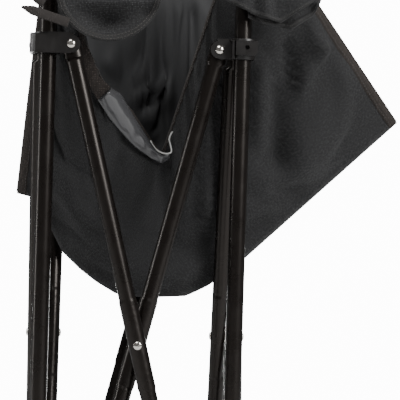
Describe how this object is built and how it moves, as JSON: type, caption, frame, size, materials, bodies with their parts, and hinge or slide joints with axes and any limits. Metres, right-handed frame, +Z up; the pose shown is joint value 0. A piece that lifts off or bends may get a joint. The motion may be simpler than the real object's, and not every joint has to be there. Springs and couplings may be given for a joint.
{
  "type": "folding four-post bag stand",
  "caption": "Upright folding stand of crossed riveted legs between four posts, with sliding collars and a square black cloth bag hung from the post tops, shown part-folded.",
  "frame": {"origin": "on the floor under the centre of the front left post", "axes": "+Z up, +X from the front left post to the front right one, +Y from the front posts to the back ones"},
  "size_m": [0.3813, 0.2274, 0.736],
  "materials": {
    "tube_enamel": "gloss",
    "rivet_nickel": "bright",
    "moulded_plastic": "satin",
    "woven_cloth": "matte",
    "coated_lining": "satin",
    "flap_cloth": "matte",
    "webbing": "matte"
  },
  "bodies": {
    "post_front_left": {"post_front_left": "tube_enamel", "foot_front_left": "moulded_plastic", "foot_rivets_front_left": "rivet_nickel", "cap_front_left": "moulded_plastic", "corner_loop_front_left": "webbing", "round_flap": "flap_cloth", "flap_tab": "webbing", "tie_strap": "webbing"},
    "collar_front_left": {"collar_front_left": "moulded_plastic", "collar_rivets_front_left": "rivet_nickel"},
    "post_front_right": {"post_front_right": "tube_enamel", "foot_front_right": "moulded_plastic", "foot_rivets_front_right": "rivet_nickel", "cap_front_right": "moulded_plastic", "corner_loop_front_right": "webbing"},
    "collar_front_right": {"collar_front_right": "moulded_plastic", "collar_rivets_front_right": "rivet_nickel"},
    "post_back_right": {"post_back_right": "tube_enamel", "foot_back_right": "moulded_plastic", "foot_rivets_back_right": "rivet_nickel", "cap_back_right": "moulded_plastic", "corner_loop_back_right": "webbing"},
    "collar_back_right": {"collar_back_right": "moulded_plastic", "collar_rivets_back_right": "rivet_nickel"},
    "post_back_left": {"post_back_left": "tube_enamel", "foot_back_left": "moulded_plastic", "foot_rivets_back_left": "rivet_nickel", "cap_back_left": "moulded_plastic", "corner_loop_back_left": "webbing"},
    "collar_back_left": {"collar_back_left": "moulded_plastic", "collar_rivets_back_left": "rivet_nickel"},
    "leg_front_outer": {"leg_front_outer": "tube_enamel", "crossing_rivet_front": "rivet_nickel", "crossing_washers_front": "rivet_nickel"},
    "leg_front_inner": {"leg_front_inner": "tube_enamel"},
    "leg_right_outer": {"leg_right_outer": "tube_enamel", "crossing_rivet_right": "rivet_nickel", "crossing_washers_right": "rivet_nickel"},
    "leg_right_inner": {"leg_right_inner": "tube_enamel"},
    "leg_back_outer": {"leg_back_outer": "tube_enamel", "crossing_rivet_back": "rivet_nickel", "crossing_washers_back": "rivet_nickel"},
    "leg_back_inner": {"leg_back_inner": "tube_enamel"},
    "leg_left_outer": {"leg_left_outer": "tube_enamel", "crossing_rivet_left": "rivet_nickel", "crossing_washers_left": "rivet_nickel"},
    "leg_left_inner": {"leg_left_inner": "tube_enamel"},
    "cloth_corner_front_left": {"cloth_corner_front_left": "woven_cloth"},
    "cloth_corner_front_right": {"cloth_corner_front_right": "woven_cloth"},
    "cloth_corner_back_right": {"cloth_corner_back_right": "woven_cloth"},
    "cloth_corner_back_left": {"cloth_corner_back_left": "woven_cloth"},
    "bag_centre": {"bag_centre": "woven_cloth"}
  },
  "joints": [
    {"name": "fold", "type": "hinge", "parent": "post_front_left", "child": "leg_front_inner", "pos_m": [0.022, 0, 0.025], "axis": [0, 1, 0], "range_deg": [-11, 31]},
    {"name": "front_crossing", "type": "hinge", "parent": "leg_front_inner", "child": "leg_front_outer", "pos_m": [0.09216, 0, 0.30639], "axis": [0, 1, 0], "range_deg": [-62.5, 22.5]},
    {"name": "front_right_foot_front", "type": "hinge", "parent": "leg_front_outer", "child": "post_front_right", "pos_m": [0.16231, 0, 0.025], "axis": [0, 1, 0], "range_deg": [-11.5, 31.5]},
    {"name": "front_left_collar_front", "type": "hinge", "parent": "leg_front_outer", "child": "collar_front_left", "pos_m": [0.022, 0, 0.58777], "axis": [0, 1, 0], "range_deg": [-11.5, 31.5]},
    {"name": "front_right_collar_front", "type": "hinge", "parent": "leg_front_inner", "child": "collar_front_right", "pos_m": [0.16231, 0, 0.58777], "axis": [0, 1, 0], "range_deg": [-31.5, 11.5]},
    {"name": "front_right_foot_side", "type": "hinge", "parent": "post_front_right", "child": "leg_right_outer", "pos_m": [0.18432, 0.022, 0.025], "axis": [-1, 0, 0], "range_deg": [-11.5, 31.5]},
    {"name": "right_crossing", "type": "hinge", "parent": "leg_right_outer", "child": "leg_right_inner", "pos_m": [0.18432, 0.09216, 0.30639], "axis": [-1, 0, 0], "range_deg": [-62.5, 22.5]},
    {"name": "back_right_foot_side", "type": "hinge", "parent": "leg_right_inner", "child": "post_back_right", "pos_m": [0.18432, 0.16231, 0.025], "axis": [-1, 0, 0], "range_deg": [-11.5, 31.5]},
    {"name": "back_right_collar_side", "type": "hinge", "parent": "leg_right_outer", "child": "collar_back_right", "pos_m": [0.18432, 0.16231, 0.58777], "axis": [-1, 0, 0], "range_deg": [-31.5, 11.5]},
    {"name": "front_left_foot_side", "type": "hinge", "parent": "post_front_left", "child": "leg_left_inner", "pos_m": [0, 0.022, 0.025], "axis": [-1, 0, 0], "range_deg": [-11.5, 31.5]},
    {"name": "left_crossing", "type": "hinge", "parent": "leg_left_inner", "child": "leg_left_outer", "pos_m": [0, 0.09216, 0.30639], "axis": [-1, 0, 0], "range_deg": [-62.5, 22.5]},
    {"name": "back_left_foot_side", "type": "hinge", "parent": "leg_left_outer", "child": "post_back_left", "pos_m": [0, 0.16231, 0.025], "axis": [-1, 0, 0], "range_deg": [-11.5, 31.5]},
    {"name": "back_left_collar_side", "type": "hinge", "parent": "leg_left_inner", "child": "collar_back_left", "pos_m": [0, 0.16231, 0.58777], "axis": [-1, 0, 0], "range_deg": [-31.5, 11.5]},
    {"name": "back_left_foot_back", "type": "hinge", "parent": "post_back_left", "child": "leg_back_outer", "pos_m": [0.022, 0.18432, 0.025], "axis": [0, 1, 0], "range_deg": [-11.5, 31.5]},
    {"name": "back_crossing", "type": "hinge", "parent": "leg_back_outer", "child": "leg_back_inner", "pos_m": [0.09216, 0.18432, 0.30639], "axis": [0, 1, 0], "range_deg": [-62.5, 22.5]},
    {"name": "cloth_swing_front_left", "type": "hinge", "parent": "post_front_left", "child": "cloth_corner_front_left", "pos_m": [0, 0, 0.733], "axis": [0.7071, -0.7071, 0], "range_deg": [-11.5, 31.5], "deforming": ["cloth_corner_front_left"]},
    {"name": "bag_level", "type": "hinge", "parent": "cloth_corner_front_left", "child": "bag_centre", "pos_m": [0.07016, 0.07016, 0.33506], "axis": [0.7071, -0.7071, 0], "range_deg": [-31.5, 11.5], "deforming": ["bag_centre"]},
    {"name": "cloth_swing_front_right", "type": "hinge", "parent": "bag_centre", "child": "cloth_corner_front_right", "pos_m": [0.11416, 0.07016, 0.33506], "axis": [0.7071, 0.7071, 0], "range_deg": [-11.5, 31.5], "deforming": ["cloth_corner_front_right"]},
    {"name": "cloth_swing_back_right", "type": "hinge", "parent": "bag_centre", "child": "cloth_corner_back_right", "pos_m": [0.11416, 0.11416, 0.33506], "axis": [-0.7071, 0.7071, 0], "range_deg": [-11.5, 31.5], "deforming": ["cloth_corner_back_right"]},
    {"name": "cloth_swing_back_left", "type": "hinge", "parent": "bag_centre", "child": "cloth_corner_back_left", "pos_m": [0.07016, 0.11416, 0.33506], "axis": [-0.7071, -0.7071, 0], "range_deg": [-11.5, 31.5], "deforming": ["cloth_corner_back_left"]}
  ],
  "couplings": [
    {"joint": "front_crossing", "follows": "fold", "ratio": -2},
    {"joint": "front_right_foot_front", "follows": "fold", "ratio": 1},
    {"joint": "front_left_collar_front", "follows": "fold", "ratio": 1},
    {"joint": "front_right_collar_front", "follows": "fold", "ratio": -1},
    {"joint": "front_right_foot_side", "follows": "fold", "ratio": 1},
    {"joint": "right_crossing", "follows": "fold", "ratio": -2},
    {"joint": "back_right_foot_side", "follows": "fold", "ratio": 1},
    {"joint": "back_right_collar_side", "follows": "fold", "ratio": -1},
    {"joint": "front_left_foot_side", "follows": "fold", "ratio": 1},
    {"joint": "left_crossing", "follows": "fold", "ratio": -2},
    {"joint": "back_left_foot_side", "follows": "fold", "ratio": 1},
    {"joint": "back_left_collar_side", "follows": "fold", "ratio": -1},
    {"joint": "back_left_foot_back", "follows": "fold", "ratio": 1},
    {"joint": "back_crossing", "follows": "fold", "ratio": -2},
    {"joint": "cloth_swing_front_left", "follows": "fold", "ratio": 1},
    {"joint": "bag_level", "follows": "fold", "ratio": -1},
    {"joint": "cloth_swing_front_right", "follows": "fold", "ratio": 1},
    {"joint": "cloth_swing_back_right", "follows": "fold", "ratio": 1},
    {"joint": "cloth_swing_back_left", "follows": "fold", "ratio": 1}
  ]
}
